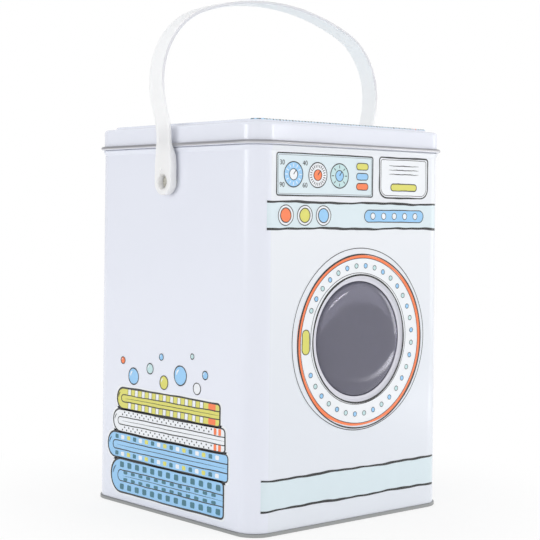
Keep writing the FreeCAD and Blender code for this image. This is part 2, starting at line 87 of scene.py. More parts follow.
class Finish:
    """A material being written. node() adds any node: its type, its settings, then its inputs."""

    def __init__(self, name, kind="material"):
        if kind == "world":
            self.owner = bpy.data.worlds.new(name)
        else:
            self.owner = bpy.data.materials.new(name)
        self.owner.use_nodes = True
        self.tree = self.owner.node_tree
        self.tree.nodes.clear()
        self.out = self.tree.nodes.new("ShaderNodeOutput" + kind.capitalize())

    def node(self, kind, settings=None, inputs=None, output=0):
        made = self.tree.nodes.new("ShaderNode" + kind)
        for key, value in (settings or {}).items():
            setattr(made, key, value)
        for key, value in (inputs or {}).items():
            socket = made.inputs[key]
            if isinstance(value, Wire):
                self.tree.links.new(value.socket, socket)
            elif isinstance(value, tuple) and socket.type == "RGBA":
                socket.default_value = value + (1.0,)
            else:
                socket.default_value = value
        return Wire(self, made.outputs[output])

    def place(self, output="Object"):
        """The point being shaded, or with "Normal" the way its face looks."""
        return self.node("TexCoord", output=output)

    def parts(self, vector):
        """The three numbers of a vector."""
        split = self.node("SeparateXYZ", inputs={0: vector})
        return [Wire(self, split.socket.node.outputs[i]) for i in range(3)]

    def stretched(self, *scale):
        """The point being shaded, with each of its three numbers multiplied."""
        return self.node("Mapping", inputs={"Vector": self.place(), "Scale": scale})

    def noise(self, scale, detail=3.0, vector=None):
        return self.node("TexNoise", inputs={"Vector": vector or self.place(), "Scale": scale,
                                             "Detail": detail, "Roughness": 0.5})

    def ray(self, *kinds):
        """1 for light rays of these kinds, such as Camera or Glossy, and 0 for the rest."""
        found = self.node("LightPath", output=f"Is {kinds[0]} Ray")
        for kind in kinds[1:]:
            found = found.either(self.node("LightPath", output=f"Is {kind} Ray"))
        return found

    def mix(self, share, a, b, blend="MIX"):
        """Colour a where share is 0, colour b where it is 1."""
        return self.node("Mix", {"data_type": "RGBA", "blend_type": blend},
                         {0: share, 6: a, 7: b}, output=2)

    def mix_numbers(self, share, a, b):
        """Number a where share is 0, number b where it is 1."""
        return self.node("Mix", {}, {0: share, 2: a, 3: b})

    def bump(self, height, distance, strength):
        return self.node("Bump", inputs={"Height": height, "Distance": distance,
                                         "Strength": strength})

    def peel(self, share=None):
        """The faint orange-peel surface of stoved enamel and varnish, where share is 1."""
        ripple = self.noise(900.0, 2.0)
        return self.bump(ripple if share is None else ripple * share, 0.02 * MM, 0.10)

    def principled(self, **inputs):
        named = {key.replace("_", " "): value for key, value in inputs.items()}
        return self.node("BsdfPrincipled", inputs=named)

    def done(self, shader):
        self.tree.links.new(shader.socket, self.out.inputs["Surface"])
        return self.owner


def linear(red, green, blue):
    """A colour given as 0 to 255 in display values, as the shader's linear numbers."""
    def one(value):
        value /= 255
        return value / 12.92 if value <= 0.04045 else ((value + 0.055) / 1.055) ** 2.4
    return (one(red), one(green), one(blue))


# ---- Sizes ----------------------------------------------------------------------------------

lid_low, lid_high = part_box("lid")
pane_low, pane_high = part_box("window_pane")
washer_low, washer_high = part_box("right_washer")
body_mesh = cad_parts["body_wall"].data
body_points = np.empty(len(body_mesh.vertices) * 3)
body_mesh.vertices.foreach_get("co", body_points)
body_points = body_points.reshape(-1, 3)
beside = (body_points[:, 2] > pane_low.z) & (body_points[:, 2] < pane_high.z)

CORNER = 13.5 * MM                             # rounding of the upright corners
HALF = -float(body_points[beside, 1].min())    # the printed wall's outer face, at the window
FLAT = HALF - CORNER                           # half the flat part of a wall
SIDE = 2 * FLAT + math.pi / 2 * CORNER         # one wall and one corner along the sheet
WINDOW_X = (pane_low.x + pane_high.x) / 2
WINDOW_Z = (pane_low.z + pane_high.z) / 2
PIVOT_Z = (washer_low.z + washer_high.z) / 2
LID_TOP = lid_high.z
CURL_TOP = lid_low.z + 2.5 * MM                # the lid's rolled rim ends here
PANEL_INSET = 7.8 * MM                         # wall's face to the lid's raised panel
STEP_WIDTH, STEP_DROP = 1.0 * MM, 2.0 * MM     # the rounded step at that panel's edge
FIELD_FADE = 60 * MM, 190 * MM                 # the front's pale field lightens between these
EDGE_FADE = 35 * MM                            # the strap's edges turn grey, a painted shade, this far over the lid
INK = 0.04 * MM                                # one film of ink

# Millimetres that more than one drawing uses.
HOLE_RIM = 39.5                                # radius where the window's printed rings begin
UPPER_STRIPE, LOWER_STRIPE = (183.2, 199.2), (15.2, 33.0)

# How many films of ink lie under a shape, so that what is drawn over another stands clear of it.
GROUND, SHAPE, DETAIL, OUTLINE = 1, 2, 3, 4


# ---- Materials ------------------------------------------------------------------------------

WHITE = linear(234, 237, 247)
FIELD_HIGH = linear(236, 239, 244)
FIELD_LOW = linear(231, 235, 242)
RIM_GREY = linear(222, 222, 231)
INSIDE_TINPLATE = linear(188, 189, 193)
SEAM_TINPLATE = linear(166, 168, 168)
# the lid's bare tinplate is its own metal colour, made lighter than the seam's as painted light
# against the shade along the curl
LID_TINPLATE = linear(204, 204, 207)
TURNED_UNDER = -0.65          # a face of the curl that looks down further than this is painted white enamel, as painted light over the shade beneath the curl


def wall_frame(finish):
    """Where a point lies on the rounded square of the walls, and whether its face looks out.

    The corner vector is the part of (x, y) beyond the flat half-widths. Its length, less the
    corner radius, is the distance outside the wall's face. What comes back is x, y, z, the
    normal's z, that length, and the normal's share along the corner vector.
    """
    x, y, z = finish.parts(finish.place())
    nx, ny, nz = finish.parts(finish.place("Normal"))
    past_x = (abs(x) - FLAT).either(0.0) * x.math("SIGN")
    past_y = (abs(y) - FLAT).either(0.0) * y.math("SIGN")
    return x, y, z, nz, length(past_x, past_y), nx * past_x + ny * past_y


def bare_metal(finish, base, low, high):
    """Colour and roughness of rolled tinplate: faint clouds and fine streaks round the tin."""
    streaks = finish.noise(1.0, 2.0, finish.stretched(12.0, 12.0, 260.0))
    clouds = finish.noise(45.0)
    darker = tuple(0.86 * part for part in base)
    colour = finish.mix(streaks * 0.5 + clouds * 0.5, darker, base)
    return colour, clouds.spread(low, high), streaks


def part_painted(m, painted, paint, gloss, metal, metal_rough):
    """Paint where painted is 1, with gloss as its range of roughness, and bare metal where 0."""
    return m.done(m.principled(
        Base_Color=m.mix(painted, metal, paint),
        Metallic=1.0 - painted,
        Roughness=m.mix_numbers(painted, metal_rough, m.noise(120.0).spread(*gloss)),
        Normal=m.peel(painted),
        IOR=1.5))


def enamel_body():
    """White gloss enamel outside with the front's pale field, bare tinplate inside."""
    m = Finish("enamel_body")
    x, y, z, _, _, facing = wall_frame(m)
    metal, metal_rough, _ = bare_metal(m, INSIDE_TINPLATE, 0.42, 0.56)
    field = m.mix(z.ramp(*FIELD_FADE), FIELD_LOW, FIELD_HIGH)
    from_window = length(x - WINDOW_X, z - WINDOW_Z)
    rim = from_window.ramp((HOLE_RIM - 0.2) * MM, (HOLE_RIM + 0.2) * MM)
    field = m.mix(rim, RIM_GREY, field)
    past_corner = x + FLAT + 1.0 * MM          # the field begins 1 mm round the left corner
    front = (y < -FLAT).both(past_corner.ramp(-0.2 * MM, 0.2 * MM))
    cloud = m.mix(m.noise(14.0, 2.0) * 0.5, (1.0, 1.0, 1.0), (0.965, 0.97, 0.98))
    paint = m.mix(1.0, m.mix(front, WHITE, field), cloud, "MULTIPLY")
    return part_painted(m, facing > 0.0, paint, (0.18, 0.25), metal, metal_rough)


def enamel_lid():
    """White gloss enamel with a pale printed top, and bare inside.

    The rolled curl is bare on its face. Where it turns under, it is coloured as white enamel:
    painted light over the shade and the floor's reflection beneath it.
    """
    m = Finish("enamel_lid")
    _, y, z, nz, reach, facing = wall_frame(m)
    outside = reach - CORNER
    metal, metal_rough, _ = bare_metal(m, LID_TINPLATE, 0.30, 0.42)
    skin = (facing * 100.0 + nz > 0.0).both(z > CURL_TOP)
    painted_light_underside = (z < CURL_TOP).both(nz < TURNED_UNDER).both(outside > 0.0)
    inset = outside * -1.0
    panel = inset.ramp(PANEL_INSET - 0.1 * MM, PANEL_INSET + 0.1 * MM)
    # At the front the printed ground runs on over the step at the panel's edge.
    front_edge = (z > LID_TOP - 0.6 * MM).both(y < -FLAT).both(inset > 6.5 * MM)
    ground = m.mix(m.noise(35.0, 2.0), linear(196, 222, 240), linear(208, 230, 244))
    paint = m.mix(panel.either(front_edge), WHITE, ground)
    return part_painted(m, skin.either(painted_light_underside), paint, (0.10, 0.16), metal, metal_rough)


def bare_tinplate():
    """Uncoated tinplate, dulled by the seaming rolls and streaked the way they ran."""
    m = Finish("bare_tinplate")
    colour, rough, streaks = bare_metal(m, SEAM_TINPLATE, 0.30, 0.42)
    return m.done(m.principled(Base_Color=colour, Metallic=1.0, Roughness=rough,
                               Normal=m.bump(streaks, 0.01 * MM, 0.3)))


def stud_steel():
    """Zinc-plated steel with fine lathe rings round the pivot axis."""
    m = Finish("stud_steel")
    _, y, z = m.parts(m.place())
    rings = (length(y, z - PIVOT_Z) * 9000.0).math("SINE")
    cloud = m.noise(500.0)
    colour = m.mix(cloud, linear(196, 194, 184), linear(224, 223, 213))
    return m.done(m.principled(Base_Color=colour, Metallic=1.0, Roughness=cloud.spread(0.26, 0.40),
                               Normal=m.bump(rings, 0.02 * MM, 0.5)))


def strap_plastic():
    """Milky soft plastic: satin, slightly see-through, with faint flow marks along the strap.

    The long edges of its free length, which face front and back, are coloured greyer: a painted
    shade for the darker tone they take in the light.
    """
    m = Finish("strap_plastic")
    _, _, z = m.parts(m.place())
    _, ny, _ = m.parts(m.place("Normal"))
    flow = m.noise(1.0, 3.0, m.stretched(25.0, 900.0, 25.0))
    cloud = m.noise(70.0)
    colour = m.mix(cloud, linear(250, 249, 249), linear(254, 253, 252))
    # painted shade: the free strap's front and back edges are coloured grey, standing in for the
    # darker tone the light gives them
    edge = abs(ny).ramp(0.45, 0.80) * z.ramp(LID_TOP, LID_TOP + EDGE_FADE)
    colour = m.mix(edge, colour, linear(211, 210, 214))
    grain = flow * 0.6 + m.noise(1500.0, 2.0) * 0.4
    return m.done(m.principled(
        Base_Color=colour, Roughness=cloud.spread(0.34, 0.44), IOR=1.49,
        Normal=m.bump(grain, 0.04 * MM, 0.5),
        Subsurface_Weight=1.0, Subsurface_Radius=(1.0, 1.0, 1.0), Subsurface_Scale=6 * MM))


def pane_plastic():
    """Clear plastic, lightly hazed by handling, that lets the lamps' light through."""
    m = Finish("pane_plastic")
    scuff = m.noise(60.0)
    haze = m.mix(scuff, (0.63, 0.62, 0.79), (0.68, 0.67, 0.84))
    clear = m.principled(Base_Color=haze, Roughness=scuff.spread(0.03, 0.07), IOR=1.52,
                         Transmission_Weight=0.90)
    through = m.node("BsdfTransparent", inputs={0: (0.40, 0.40, 0.43)})
    return m.done(m.node("MixShader", inputs={0: m.ray("Shadow"), 1: clear, 2: through}))


def ink(name, colour, dullest):
    """One printing ink: an even colour with soft mottling and the gloss of the varnish over it."""
    m = Finish("ink_" + name)
    mottle = m.noise(110.0, 2.0) * 0.5 + m.noise(25.0, 2.0) * 0.5
    duller = tuple(part * dullest for part in colour)
    return m.done(m.principled(Base_Color=m.mix(mottle.spread(), duller, colour),
                               Roughness=m.noise(150.0).spread(0.19, 0.26), IOR=1.5,
                               Normal=m.peel()))


INKS = {name: ink(name, linear(*colour), dullest) for name, colour, dullest in (
    ("charcoal", (60, 61, 62), 0.72),
    ("grey", (150, 156, 160), 0.9),
    ("sky", (158, 209, 249), 0.95),
    ("lime", (226, 222, 112), 0.95),
    ("orange", (255, 134, 84), 0.94),
    ("teal", (71, 125, 141), 0.88),
    ("pale", (221, 235, 241), 0.985),
    ("white", (242, 245, 249), 0.98),
    ("mint", (199, 228, 230), 0.97))}
NODE_FINISH = {}
for write_finish, nodes in (
        (enamel_body, ("body_wall",)), (enamel_lid, ("lid",)),
        (bare_tinplate, ("base_panel", "window_ring")), (strap_plastic, ("handle",)),
        (pane_plastic, ("window_pane",)),
        (stud_steel, ("left_stud", "right_stud", "left_washer", "right_washer"))):
    NODE_FINISH.update(dict.fromkeys(nodes, write_finish()))
for name, finish in NODE_FINISH.items():
    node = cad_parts[name]
    node.data.materials.clear()
    node.data.materials.append(finish)


# ---- The printing sheet -----------------------------------------------------------------------

def on_wall(sheet, lift):
    """The flat printing sheet wrapped round the tin.

    sheet holds (along, up): along runs from the middle of the front wall towards +X and on round
    the corners. Within one side the point is (along, -half); past the flat part it turns about
    the corner's axis by (|along| - flat) / corner radius, and each side is a quarter turn on.
    """
    along, up = sheet[..., 0], sheet[..., 1]
    side = np.round(along / SIDE)
    rest = along - side * SIDE
    turn = np.clip(np.abs(rest) - FLAT, 0, None) / CORNER
    x = np.sign(rest) * (np.minimum(np.abs(rest), FLAT) + (CORNER + lift) * np.sin(turn))
    y = -(FLAT + (CORNER + lift) * np.cos(turn))
    angle = side * math.pi / 2
    return np.stack([x * np.cos(angle) - y * np.sin(angle),
                     x * np.sin(angle) + y * np.cos(angle), up], -1)


def on_lid(sheet, lift):
    """The lid's top: flat, with the edge dropping over the step round the raised panel.

    The inset from the wall's face is the corner radius less the length of the part of (x, y)
    past the flat half-widths. The height eases down by half a cosine over the step's width.
    """
    x, y = sheet[..., 0], sheet[..., 1]
    past = np.hypot(np.clip(np.abs(x) - FLAT, 0, None), np.clip(np.abs(y) - FLAT, 0, None))
    inset = CORNER - past
    ease = np.clip((PANEL_INSET - inset) / STEP_WIDTH, 0, 1)
    up = LID_TOP - STEP_DROP / 2 * (1 - np.cos(math.pi * ease)) + lift
    return np.stack([x, y, up], -1)


def wobble(count, amount, seed):
    """A pen's unsteadiness: three sines of unlike pace and seeded phase, along 0 to 1."""
    phase = np.random.default_rng(seed).uniform(0, 2 * math.pi, 3)
    t = np.linspace(0, 1, count) * 2 * math.pi
    return amount * (np.sin(2 * t + phase[0]) + 0.6 * np.sin(5 * t + phase[1])
                     + 0.35 * np.sin(11 * t + phase[2])) / 2


def line(points, width, closed=False, seed=1, uneven=0.16, taper=False):
    """A pen line: each point of the path moved both ways along its normal by half the width."""
    points = np.asarray(points, float)
    if closed:
        ahead, behind = np.roll(points, -1, 0), np.roll(points, 1, 0)
    else:
        ahead = np.vstack([points[1:], 2 * points[-1:] - points[-2:-1]])
        behind = np.vstack([2 * points[:1] - points[1:2], points[:-1]])
    way = ahead - behind
    way /= np.linalg.norm(way, axis=1, keepdims=True) + 1e-12
    normal = np.stack([-way[:, 1], way[:, 0]], -1)
    half = width / 2 * (1 + wobble(len(points), uneven, seed))
    if taper:
        half = half * np.sqrt(np.clip(1 - np.linspace(-1, 1, len(points)) ** 2, 0.04, 1))
    both = np.stack([points - normal * half[:, None], points + normal * half[:, None]])
    return np.concatenate([both, both[:, :1]], 1) if closed else both


def filled(points, rings=2):
    """The inside of a closed path: the path drawn in towards its middle, ring by ring."""
    points = np.asarray(points, float)
    middle = points.mean(0)
    share = np.linspace(0.0, 1.0, rings + 1)[:, None, None]
    grid = middle + (points - middle) * share
    return np.concatenate([grid, grid[:, :1]], 1)


def between(low, high):
    """A patch ruled from one path to another."""
    return np.stack([low, high])


def circle(x, z, radius, count=48, seed=None, amount=0.0):
    """A circle, or with a seed one whose radius wavers."""
    turn = np.linspace(0, 2 * math.pi, count, endpoint=False)
    size = np.full(count, radius)
    if seed is not None:
        phase = np.random.default_rng(seed).uniform(0, 2 * math.pi, 3)
        size = size + amount * (np.sin(2 * turn + phase[0]) + 0.6 * np.sin(3 * turn + phase[1])
                                + 0.3 * np.sin(7 * turn + phase[2])) / 2
    return np.stack([x + size * np.cos(turn), z + size * np.sin(turn)], -1)


def rounded(x0, x1, z0, z1, radius, seed=None, amount=0.0, count=24):
    """A rounded box: quarter circles joined by straight sides, evenly dotted, count to a side.

    radius is one number, or four that begin at the upper right and go round to the left.
    """
    radii = radius if isinstance(radius, tuple) else (radius,) * 4
    corners = [(x1, z1, -1, -1), (x0, z1, 1, -1), (x0, z0, 1, 1), (x1, z0, -1, 1)]
    points = []
    for quarter, ((x, z, sx, sz), r) in enumerate(zip(corners, radii)):
        turn = math.pi / 2 * (quarter + np.linspace(0, 1, 9))
        points.append(np.stack([x + sx * r + r * np.cos(turn),
                                z + sz * r + r * np.sin(turn)], -1))
    path = np.vstack(points + [points[0][:1]])
    step = np.linalg.norm(np.diff(path, axis=0), axis=1)
    run = np.concatenate([[0], np.cumsum(step)])
    even = np.linspace(0, run[-1], 4 * count, endpoint=False)
    path = np.stack([np.interp(even, run, path[:, i]) for i in (0, 1)], -1)
    if seed is not None:
        path = path + np.stack([wobble(len(path) + 1, amount, seed)[:-1],
                                wobble(len(path) + 1, amount, seed + 9)[:-1]], -1)
    return path


def level(x0, x1, z, seed, amount, count=160):
    """A line along the sheet at one height, with a pen's waver."""
    return np.stack([np.linspace(x0, x1, count), z + wobble(count, amount, seed)], -1)


def add_object(name, data):
    """A new object in the scene, at the origin."""
    made = bpy.data.objects.new(name, data)
    bpy.context.scene.collection.objects.link(made)
    return made


def surface(name, grids, material, smooth=False):
    """A mesh from grids of points, each joined to its neighbours by quads. Doubles are merged."""
    points, faces, base = [], [], 0
    for grid in grids:
        rows, columns = grid.shape[:2]
        index = base + np.arange(rows * columns).reshape(rows, columns)
        faces.append(np.stack([index[:-1, :-1], index[:-1, 1:], index[1:, 1:], index[1:, :-1]],
                              -1).reshape(-1, 4))
        points.append(grid.reshape(-1, 3))
        base += rows * columns
    mesh = bpy.data.meshes.new(name)
    mesh.from_pydata(np.vstack(points).tolist(), [], np.vstack(faces).tolist())
    tidy = bmesh.new()
    tidy.from_mesh(mesh)
    bmesh.ops.remove_doubles(tidy, verts=tidy.verts, dist=1e-7)
    bmesh.ops.dissolve_degenerate(tidy, edges=tidy.edges, dist=1e-8)
    tidy.to_mesh(mesh)
    tidy.free()
    mesh.polygons.foreach_set("use_smooth", [smooth] * len(mesh.polygons))
    mesh.materials.append(material)
    return add_object(name, mesh)


class Print:
    """Shapes gathered by ink, and made into one piece for each ink at the end."""

    def __init__(self, title, body, slot):
        self.title, self.body, self.slot, self.grids = title, body, slot, {}

    def press(self, where, shift=0.0, mirror=1.0):
        """A function that prints a shape drawn in millimetres over a number of films of ink.

        The drawing is mirrored and moved along the sheet, and where lays the sheet on the tin.
        Its points are put in the order that turns its faces outwards.
        """
        def put(colour, shape, films):
            grid = np.asarray(shape, float) * MM
            grid[..., 0] = grid[..., 0] * mirror + shift
            across, along = grid[:, 1:] - grid[:, :-1], grid[1:] - grid[:-1]
            area = np.sum(across[:-1, :, 0] * along[:, :-1, 1]
                          - across[:-1, :, 1] * along[:, :-1, 0])
            if area < 0:
                grid = grid[:, ::-1]
            self.grids.setdefault(colour, []).append(where(grid, INK * films))
        return put

    def make_pieces(self):
        for colour, grids in self.grids.items():
            piece = surface(f"{self.title}_{colour}", grids, INKS[colour])
            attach(piece, self.body)


def outlined(put, colour, path, width, seed, low=SHAPE, high=OUTLINE, uneven=0.16):
    """A filled shape and the pen line round it."""
    put(colour, filled(path), low)
    put("charcoal", line(path, width, True, seed, uneven), high)


def stripe(put, start, end, heights, seed, width, uneven=0.16):
    """A pale stripe between two inked lines."""
    low, high = (level(start, end, z, seed + place, 0.5) for place, z in enumerate(heights))
    put("pale", between(low, high), GROUND)
    put("charcoal", line(low, width, seed=seed + 2, uneven=uneven), DETAIL)
    put("charcoal", line(high, width, seed=seed + 3, uneven=uneven), DETAIL)


def bubble(put, x, z, radius, colour, seed):
    """A soap bubble: a disc with an inked edge and a pale glint."""
    edge = circle(x, z, radius, 48, seed, radius * 0.03)
    outlined(put, colour, edge, 0.5 + radius * 0.035, seed + 1, uneven=0.3)
    turn = np.radians(np.linspace(112, 178, 10))
    glint = np.stack([x + radius * 0.62 * np.cos(turn), z + radius * 0.62 * np.sin(turn)], -1)
    put("white", line(glint, radius * 0.2, taper=True, uneven=0), DETAIL)


# ---- Artwork of the front ---------------------------------------------------------------------

wall_art = Print("print", "tin", "printed_tinplate")
lid_art = Print("lid_print", "lid", "lid_tinplate")
front = wall_art.press(on_wall)


def window_rings():
    """Rings round the opening: white surround with a ring of dots, orange band and inked edges."""
    x, z = WINDOW_X / MM, WINDOW_Z / MM
    a, b = x + 1.4, z - 1.2          # the outer rings are drawn a little off the opening's middle

    def ring(colour, middle, radius, count, seed, waver, width, uneven=0.16, films=DETAIL):
        edge = circle(*middle, radius, count, seed, waver)
        front(colour, line(edge, width, True, seed + 1, uneven), films)

    inner, outer = circle(x, z, HOLE_RIM, 240), circle(a, b, 52.2, 240, 3, 0.5)
    front("white", between(*[np.vstack([edge, edge[:1]]) for edge in (inner, outer)]), GROUND)
    ring("charcoal", (x, z), 40.0, 240, 5, 0.25, 1.15, 0.35)
    front("charcoal", line(circle(x - 0.2, z + 0.3, 41.5, 240, 8, 0.5), 0.35, True, 7), DETAIL)
    ring("orange", (a, b), 52.9, 300, 11, 0.4, 2.3, 0.55, SHAPE)
    ring("charcoal", (a, b), 51.7, 300, 14, 0.35, 0.4)
    ring("charcoal", (a + 0.2, b - 0.2), 54.3, 300, 17, 0.5, 1.0, 0.45)
    ring("charcoal", (x + 0.6, z - 0.2), 57.4, 300, 20, 0.7, 0.45)
    for place, turn in enumerate(np.radians(np.arange(-155, 156, 10))):
        dot = circle(x + 0.7 + 46.6 * math.cos(turn), z - 0.6 + 46.6 * math.sin(turn),
                     1.5, 24, 400 + place, 0.05)
        outlined(front, ("sky", "mint")[place % 2], dot, 0.35, 450 + place)
    pull = rounded(x - 48.8, x - 42.8, z - 7.5, z + 7.5, 2.9, 23, 0.12)
    outlined(front, "lime", pull, 0.5, 24)


def dial(x, z, radius, face, cap, spokes, seed):
    """A round control: face, ring of ticks, cap and pointer."""
    outlined(front, face, circle(x, z, radius, 64, seed, 0.12), 0.62, seed + 1)
    for turn in np.radians(np.arange(0, 360, 360 / spokes)):
        reach = np.linspace(radius * 0.62, radius * 0.86, 3)
        tick = np.stack([x + reach * math.cos(turn), z + reach * math.sin(turn)], -1)
        front("white" if face == "sky" else "charcoal", line(tick, 0.5, uneven=0), DETAIL)
    knob = circle(x, z, radius * 0.44, 40, seed + 2, 0.08)
    outlined(front, cap, knob, 0.5, seed + 3, DETAIL)
    hand = np.array([[x, z], [x + radius * 0.16, z + radius * 0.22],
                     [x + radius * 0.3, z + radius * 0.36]])
    front("charcoal", line(hand, 0.55, uneven=0), OUTLINE)


def numbers(places, size):
    """Plain numbers: flat type made a mesh, moved to its place and laid on the wall."""
    points, faces = [], []
    for text, x, z in places:
        type_curve = bpy.data.curves.new("type", "FONT")
        type_curve.body, type_curve.size = text, size
        type_curve.align_x, type_curve.align_y = "CENTER", "CENTER"
        holder = add_object("type", type_curve)
        ready = holder.evaluated_get(bpy.context.evaluated_depsgraph_get())
        mesh = bpy.data.meshes.new_from_object(ready)
        flat = np.empty(len(mesh.vertices) * 3)
        mesh.vertices.foreach_get("co", flat)
        start = sum(map(len, points))
        points.append(on_wall((flat.reshape(-1, 3)[:, :2] + [x, z]) * MM, INK * OUTLINE))
        faces += [[start + corner for corner in face.vertices] for face in mesh.polygons]
        bpy.data.objects.remove(holder)
    mesh = bpy.data.meshes.new("print_numbers")
    mesh.from_pydata(np.vstack(points).tolist(), [], faces)
    mesh.materials.append(INKS["charcoal"])
    piece = add_object("print_numbers", mesh)
    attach(piece, "tin")


def control_panel():
    """A pale plate with three dials, a column of lamps and the numbers round the first dial."""
    outlined(front, "pale", rounded(-66, 15, 203.2, 228.6, 1.2, 31, 0.15, 60), 0.8, 32,
             GROUND, DETAIL)
    inner = rounded(-64.9, 13.9, 204.3, 227.5, 0.8, 33, 0.12, 60)
    front("grey", line(inner, 0.3, True), DETAIL)
    middle, size = 215.9, 7.6
    dial(-52.6, middle, size, "sky", "white", 12, 41)
    dial(-32.6, middle, size, "white", "orange", 24, 51)
    dial(-14.2, middle, size, "mint", "sky", 8, 61)
    numbers([("30", -61.8, 222.8), ("40", -43.2, 222.8), ("60", -43.2, 209.4),
             ("90", -61.8, 209.4)], 4.2)
    for place, (colour, z) in enumerate((("lime", 222.2), ("sky", middle), ("orange", 209.6))):
        lamp_cap = rounded(0.6, 10.8, z - 2.1, z + 2.1, 2.0, 71 + place, 0.08)
        outlined(front, colour, lamp_cap, 0.5, 75 + place)


def powder_drawer():
    """A white drawer front with an inner line, three slots and a grip."""
    outlined(front, "white", rounded(21, 66, 203.0, 228.8, (2.0, 2.0, 6.5, 6.5), 81, 0.2, 50),
             0.95, 82, GROUND, DETAIL, 0.3)
    inner = rounded(22.5, 64.5, 204.4, 227.4, (1.4, 1.4, 5.2, 5.2), 84, 0.2, 50)
    front("charcoal", line(inner, 0.35, True, 85), DETAIL)
    for step in range(3):
        slot = level(29.5, 57.5, 223.6 - 2.7 * step, 91 + step, 0.15, 40)
        front("charcoal", line(slot, 0.55, taper=True, seed=94 + step), DETAIL)
    outlined(front, "lime", rounded(31.5, 55.5, 207.6, 212.0, 2.0, 98, 0.12), 0.6, 99)


def band_buttons():
    """Round buttons in white surrounds at one end of the upper stripe and a slide at the other."""
    middle = 191.2
    for place, (colour, x) in enumerate((("orange", -58.5), ("lime", -43.0), ("sky", -27.5))):
        surround = circle(x, middle, 6.1, 60, 101 + place, 0.15)
        outlined(front, "white", surround, 0.5, 104 + place)
        cap = circle(x, middle, 4.3, 48, 107 + place, 0.12)
        outlined(front, colour, cap, 0.6, 110 + place, DETAIL)
    slide = rounded(8, 62, middle - 3.8, middle + 3.8, 3.7, 113, 0.15, 40)
    outlined(front, "sky", slide, 0.55, 114)
    for step in range(5):
        bead = circle(15.5 + 9.7 * step, middle, 2.0, 32, 120 + step, 0.06)
        outlined(front, "white", bead, 0.4, 125 + step, DETAIL)


# The front's stripes begin part-way round one corner and end part-way round the other.
stripe(front, -73, 75.2, UPPER_STRIPE, 200, 1.35, 0.32)
stripe(front, -75, 75.2, LOWER_STRIPE, 210, 1.35, 0.32)
window_rings()
control_panel()
powder_drawer()
band_buttons()


# ---- Artwork of the sides, the back and the lid -----------------------------------------------

def towels(side, mirror):
    """A stack of four folded towels under rising bubbles, on one side wall."""
    put = wall_art.press(on_wall, side * SIDE, mirror)

    def patches(xs, z, width, height, colours, seed):
        for place, x in enumerate(xs):
            patch = rounded(x - width / 2, x + width / 2, z - height / 2, z + height / 2,
                            0.6, seed + place, 0.12, 5)
            put(colours[place % len(colours)], filled(patch, 1), DETAIL)

    def block(colour, x0, x1, z0, z1, radius, count):
        put(colour, filled(rounded(x0, x1, z0, z1, radius, count=count), 1), DETAIL)

    stack = [(-62, 56, 7.5, 29.5, "sky"), (-66, 60, 30.0, 46.6, "sky"),
             (-60, 57, 47.1, 62.0, "white"), (-56, 52, 62.5, 76.5, "lime")]
    for place, (x0, x1, z0, z1, colour) in enumerate(stack):
        half, middle, seed = (z1 - z0) / 2, (z0 + z1) / 2, 300 + 20 * place
        fold_x, fold = x0 + half, half / 3          # the towel's inner fold turns here
        halo = rounded(x0 - 1.7, x1 + 1.7, z0 - 1.7, z1 + 1.7, (3.5, half, half, 3.5), count=60)
        put("white", filled(halo), GROUND)
        path = rounded(x0, x1, z0, z1, (2.6, half * 0.97, half * 0.97, 2.6), seed, 0.3, 60)
        outlined(put, colour, path, 1.15, seed + 1, uneven=0.3)
        turn = np.radians(np.linspace(90, 270, 13))
        bend = np.stack([fold_x + fold * np.cos(turn), middle + fold * np.sin(turn)], -1)
        run = level(x1 - 0.6, fold_x, middle + fold, seed + 2, 0.2, 70)
        back = level(fold_x, x1 - 0.6, middle - fold, seed + 3, 0.2, 70)
        put("charcoal", line(np.vstack([run[:-1], bend, back[1:]]), 0.65, seed=seed + 4), OUTLINE)
        parting = level(fold_x + 2, x1 - 0.6, middle, seed + 5, 0.15, 60)
        put("charcoal", line(parting, 0.4, taper=True, seed=seed + 6), OUTLINE)
        for lean in (0.9, 1.1):
            curve = np.radians(np.linspace(130, 175, 8))
            crease = np.stack([fold_x + half * (0.62 + 0.2 * lean) * np.cos(curve),
                               middle + half * (0.5 + 0.2 * lean) * np.sin(curve)], -1)
            put("charcoal", line(crease, 0.35, taper=True, uneven=0), OUTLINE)

    for row, z in enumerate((11.2, 25.8)):
        patches(np.arange(-50, 52, 8.4), z, 4.4, 3.7, ("teal",), 400 + 20 * row)
    for row, z in enumerate((16.2, 20.7)):
        patches(np.arange(-46, 52, 8.4), z, 4.4, 2.0, ("teal",), 440 + 20 * row)
    for row, z in enumerate((32.8, 43.8)):
        patches(np.arange(-56, 56, 6.6), z, 3.6, 2.7, ("teal", "white", "lime"), 480 + 20 * row)
    for row, z in enumerate((48.7, 50.5, 58.7, 60.4)):
        for x in np.arange(-50, 42, 4.8):
            put("charcoal", filled(circle(x + 2.4 * (row % 2), z, 0.62, 8), 1), DETAIL)
    for z0, z1 in ((47.7, 51.7), (57.4, 61.4)):
        for x0, x1 in ((46.0, 48.6), (50.4, 53.0)):
            block("orange", x0, x1, z0, z1, 0.4, 8)
    lime_rows = ((63.2, 67.0), (72.0, 75.9))
    for x in np.arange(-44, 36, 7.6):
        for z0, z1 in lime_rows:
            block("white", x, x + 3.4, z0, z1, 0.5, 8)
            for edge in (x, x + 3.4):
                put("charcoal", line([(edge, z0), (edge + 0.2, z1)], 0.35, uneven=0), OUTLINE)
    for z0, z1 in lime_rows:
        block("orange", 40.5, 47.5, z0, z1, 0.6, 12)
    for place, (x, z, radius, colour) in enumerate((
            (-38, 85.0, 5.4, "sky"), (-20, 91.5, 3.4, "mint"), (-5, 84.0, 4.3, "lime"),
            (12, 90.0, 6.2, "sky"), (29, 83.5, 3.6, "white"), (37, 92.5, 2.6, "sky"),
            (-50, 94.5, 2.3, "orange"), (-8, 100.0, 2.1, "sky"), (24, 103.0, 1.7, "mint"))):
        bubble(put, x, z, radius, colour, 520 + 4 * place)


